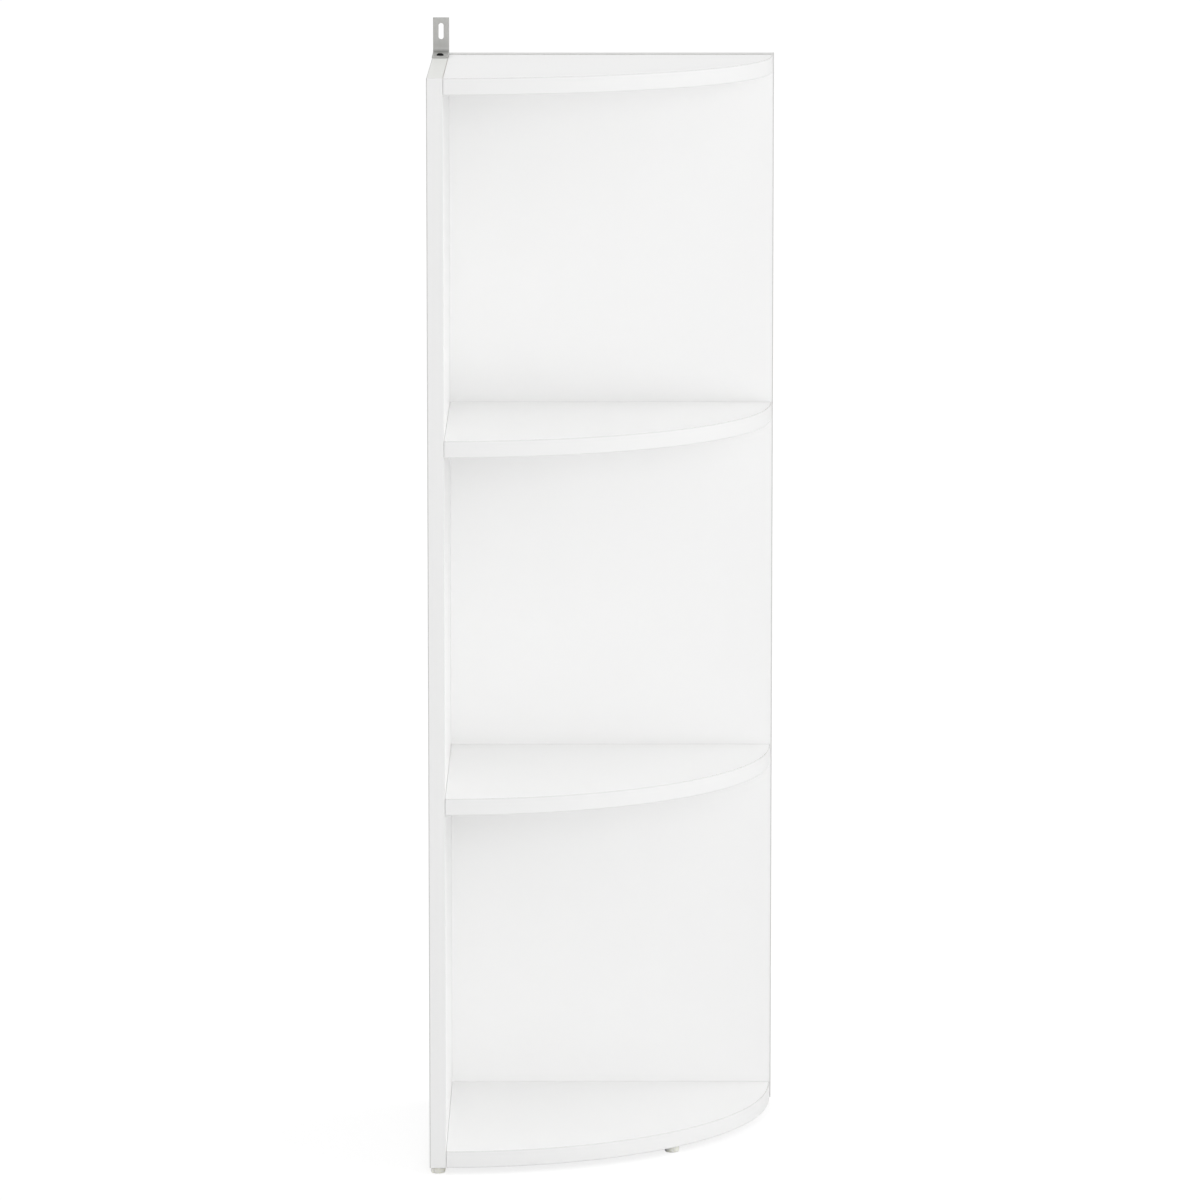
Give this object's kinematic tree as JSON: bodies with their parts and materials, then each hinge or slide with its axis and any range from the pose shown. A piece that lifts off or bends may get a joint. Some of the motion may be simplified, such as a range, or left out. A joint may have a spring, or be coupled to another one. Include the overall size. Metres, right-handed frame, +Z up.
{
  "type": "corner shelf unit",
  "caption": "Tall open corner shelf unit with quarter-round shelves between a flat side panel and a back panel, low glides and a wall bracket.",
  "frame": {"origin": "on the floor under the middle of the unit's bounding box", "axes": "+X to the right seen from the front, +Y towards the wall behind the back panel, +Z up; the side panel is at -X"},
  "size_m": [0.3376, 0.336, 1.0946],
  "materials": {
    "melamine": "white melamine on chipboard, fine satin texture",
    "edge_band": "white satin",
    "zinc_strip": "bright zinc plated",
    "black_steel": "black oxide, satin",
    "bright_steel": "bright zinc plated",
    "cast_zinc": "as cast, dull",
    "beech": "bare fluted beech",
    "cream_plastic": "smooth satin"
  },
  "bodies": {
    "root": {"side_panel": "melamine", "side_panel_front_band": "edge_band", "side_panel_rear_band": "edge_band", "side_panel_top_band": "edge_band", "back_panel": "melamine", "back_panel_end_band": "edge_band", "back_panel_top_band": "edge_band", "bottom_board": "melamine", "bottom_board_edge_band": "edge_band", "bottom_board_cam_rear": "cast_zinc", "bottom_board_cam_bolt_rear": "bright_steel", "bottom_board_dowel_rear": "beech", "bottom_board_cam_front": "cast_zinc", "bottom_board_cam_bolt_front": "bright_steel", "bottom_board_dowel_front": "beech", "bottom_board_back_screw_left": "bright_steel", "bottom_board_back_screw_right": "bright_steel", "lower_shelf": "melamine", "lower_shelf_edge_band": "edge_band", "lower_shelf_cam_rear": "cast_zinc", "lower_shelf_cam_bolt_rear": "bright_steel", "lower_shelf_dowel_rear": "beech", "lower_shelf_cam_front": "cast_zinc", "lower_shelf_cam_bolt_front": "bright_steel", "lower_shelf_dowel_front": "beech", "lower_shelf_back_screw_left": "bright_steel", "lower_shelf_back_screw_right": "bright_steel", "upper_shelf": "melamine", "upper_shelf_edge_band": "edge_band", "upper_shelf_cam_rear": "cast_zinc", "upper_shelf_cam_bolt_rear": "bright_steel", "upper_shelf_dowel_rear": "beech", "upper_shelf_cam_front": "cast_zinc", "upper_shelf_cam_bolt_front": "bright_steel", "upper_shelf_dowel_front": "beech", "upper_shelf_back_screw_left": "bright_steel", "upper_shelf_back_screw_right": "bright_steel", "top_board": "melamine", "top_board_edge_band": "edge_band", "top_board_cam_rear": "cast_zinc", "top_board_cam_bolt_rear": "bright_steel", "top_board_dowel_rear": "beech", "top_board_cam_front": "cast_zinc", "top_board_cam_bolt_front": "bright_steel", "top_board_dowel_front": "beech", "top_board_back_screw_left": "bright_steel", "top_board_back_screw_right": "bright_steel", "corner_dowel_lower": "beech", "corner_dowel_middle": "beech", "corner_dowel_upper": "beech", "glide_front": "cream_plastic", "glide_nail_front": "bright_steel", "glide_corner": "cream_plastic", "glide_nail_corner": "bright_steel", "glide_right": "cream_plastic", "glide_nail_right": "bright_steel", "glide_middle": "cream_plastic", "glide_nail_middle": "bright_steel", "wall_bracket": "zinc_strip", "bracket_screw": "black_steel"}
  },
  "joints": []
}
